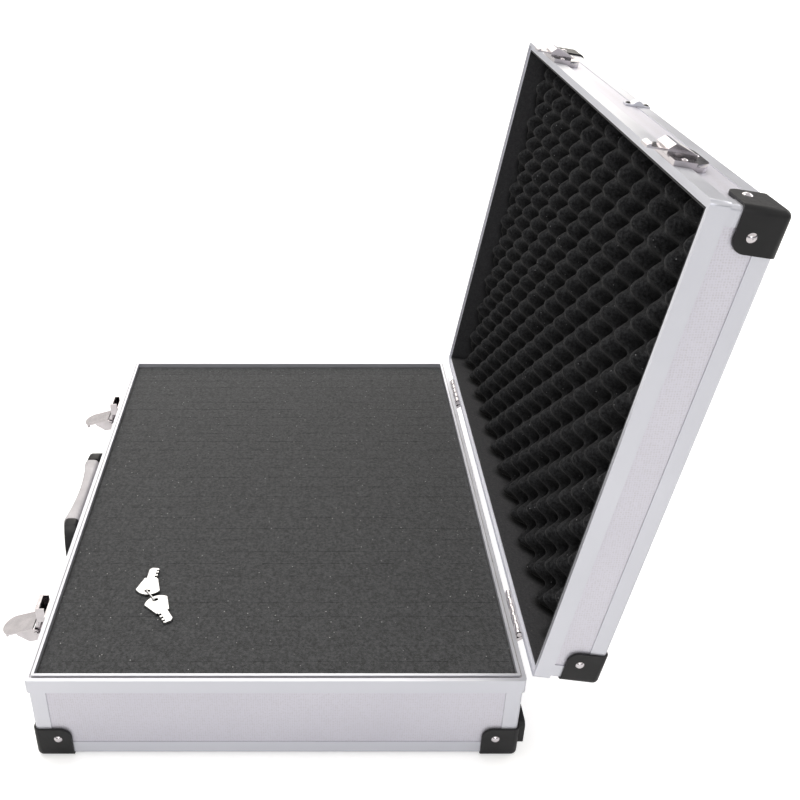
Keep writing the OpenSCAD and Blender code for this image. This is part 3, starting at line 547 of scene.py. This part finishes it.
def handle_grip():
    """The grey grip: a waisted bar with rounded collars and three fine grooves by each of them."""
    low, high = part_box("handle_grip")
    half = high.x
    waist = 4.0 * MM
    collar = 3.0 * MM
    first_groove = 7.0 * MM
    groove_pitch = 3.2 * MM
    groove_depth = 0.35 * MM
    groove_width = 0.6 * MM
    end_round = 1.6 * MM
    end_drop = 1.2 * MM
    squareness = 3.2
    grooves = [half - first_groove - k * groove_pitch for k in range(3)]
    steps = 120
    around = 48
    rings = []
    for k in range(steps + 1):
        x = -half + 2 * half * k / steps
        hollow = waist * (1 - min(1.0, abs(x) / (half - collar)) ** 2)
        ease = max(0.0, 1 - (half - abs(x)) / end_round) ** 2 * end_drop
        dents = [math.exp(-(((abs(x) - g) / groove_width) ** 2)) for g in grooves]
        slim = ease + groove_depth * sum(dents)
        lowest = Vector((low.y + hollow + slim, low.z + slim))
        highest = Vector((high.y - slim, high.z - slim))
        ring = soft_oval(lowest, highest, squareness, around)
        rings.append([Vector((x, point.x, point.y)) for point in ring])
    piece = lofted("handle_grip_moulded", rings)
    paint(piece, "grip_grey")
    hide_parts("handle_grip")
    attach(piece, "handle")
    return piece


handle_grip()
soften("handle_arms", 1.2 * MM, 3)

# ------------------------------------------------------------------ stage


def pale_floor():
    """A wide, plain, white floor; seen directly it is a little brighter than it reflects."""
    camera_glow = 0.42
    bpy.ops.mesh.primitive_plane_add(size=12.0, location=(0, 0, -0.5 * MM))
    floor = bpy.context.object
    floor.name = "floor"
    made, tree, shader = new_material("floor_white")
    tint = ramp(tree, noise_value(tree, 2.0), [(0.3, 0.90), (0.7, 0.92)])
    tree.links.new(tint, shader.inputs["Base Color"])
    shader.inputs["Roughness"].default_value = 0.85
    shader.inputs["Emission Color"].default_value = (1.0, 1.0, 1.0, 1.0)
    seen = tree.nodes.new("ShaderNodeLightPath").outputs["Is Camera Ray"]
    glow = tree.nodes.new("ShaderNodeMath")
    glow.operation = "MULTIPLY"
    glow.inputs[1].default_value = camera_glow
    tree.links.new(seen, glow.inputs[0])
    tree.links.new(glow.outputs["Value"], shader.inputs["Emission Strength"])
    floor.data.materials.append(made)


def soft_light(name, location, target, size, power, colour=(1.0, 1.0, 1.0)):
    """A large square area light aimed at a point."""
    data = bpy.data.lights.new(name, "AREA")
    data.shape = "SQUARE"
    data.size = size
    data.energy = power
    data.color = colour
    light = bpy.data.objects.new(name, data)
    bpy.context.scene.collection.objects.link(light)
    light.location = location
    light.rotation_mode = "QUATERNION"
    light.rotation_quaternion = (Vector(target) - Vector(location)).to_track_quat("-Z", "Y")


def surroundings():
    """A white room for the camera; for reflections it has a dark band just above eye level."""
    floor_side = (0.37, 0.38, 0.42)
    horizon = (0.50, 0.515, 0.57)
    upper_wall = (1.08, 1.05, 1.0)
    ceiling_edge = (0.98, 0.96, 0.93)
    camera_white = (1.3, 1.3, 1.3)
    world = bpy.data.worlds.new("studio")
    bpy.context.scene.world = world
    world.use_nodes = True
    tree = world.node_tree
    background = tree.nodes["Background"]
    direction = tree.nodes.new("ShaderNodeTexCoord").outputs["Generated"]
    split = tree.nodes.new("ShaderNodeSeparateXYZ")
    tree.links.new(direction, split.inputs["Vector"])
    shift = tree.nodes.new("ShaderNodeMath")
    shift.operation = "MULTIPLY_ADD"
    shift.inputs[1].default_value = 0.5
    shift.inputs[2].default_value = 0.5
    tree.links.new(split.outputs["Z"], shift.inputs[0])
    walls = ramp(tree, shift.outputs["Value"], [
        (0.40, floor_side), (0.52, horizon), (0.545, 0.08), (0.60, 0.10),
        (0.65, upper_wall), (0.88, ceiling_edge), (1.0, 0.75),
    ])
    seen = tree.nodes.new("ShaderNodeLightPath").outputs["Is Camera Ray"]
    tree.links.new(mix(tree, seen, walls, camera_white), background.inputs["Color"])
    background.inputs["Strength"].default_value = 0.85


def studio():
    """The surroundings, a key from above, a big white card across from the camera and two fills."""
    surroundings()
    soft_light("key", (-0.3, -0.7, 2.0), (0.0, 0.1, 0.1), 1.2, 14.5, (1.0, 0.975, 0.93))
    soft_light("rim_card", (-2.6, 0.2, 1.75), (0.0, 0.1, 0.2), 2.6, 31.0, (1.0, 0.945, 0.86))
    soft_light("end_fill", (2.2, 0.1, 0.8), (0.0, 0.0, 0.1), 1.0, 5.0, (0.97, 0.97, 1.0))
    soft_light("back_fill", (-0.6, 2.0, 1.2), (0.0, 0.1, 0.2), 1.2, 8.0)


def photo_camera():
    """The camera the case was seen with: level across, looking along -X and down."""
    tilt = math.radians(27.88)
    data = bpy.data.cameras.new("camera")
    data.sensor_width = 36.0
    data.lens = 42.107
    data.shift_x = 0.1094
    data.shift_y = -0.0652
    camera = bpy.data.objects.new("camera", data)
    bpy.context.scene.collection.objects.link(camera)
    right = Vector((0.0, 1.0, 0.0))
    up = Vector((-math.sin(tilt), 0.0, math.cos(tilt)))
    back = Vector((math.cos(tilt), 0.0, math.sin(tilt)))
    turned = Matrix((right, up, back)).transposed().to_4x4()
    camera.matrix_world = Matrix.Translation((0.6955, 0.0258, 0.5844)) @ turned
    bpy.context.scene.camera = camera


pale_floor()
studio()
photo_camera()
bpy.context.scene.view_settings.view_transform = "Standard"
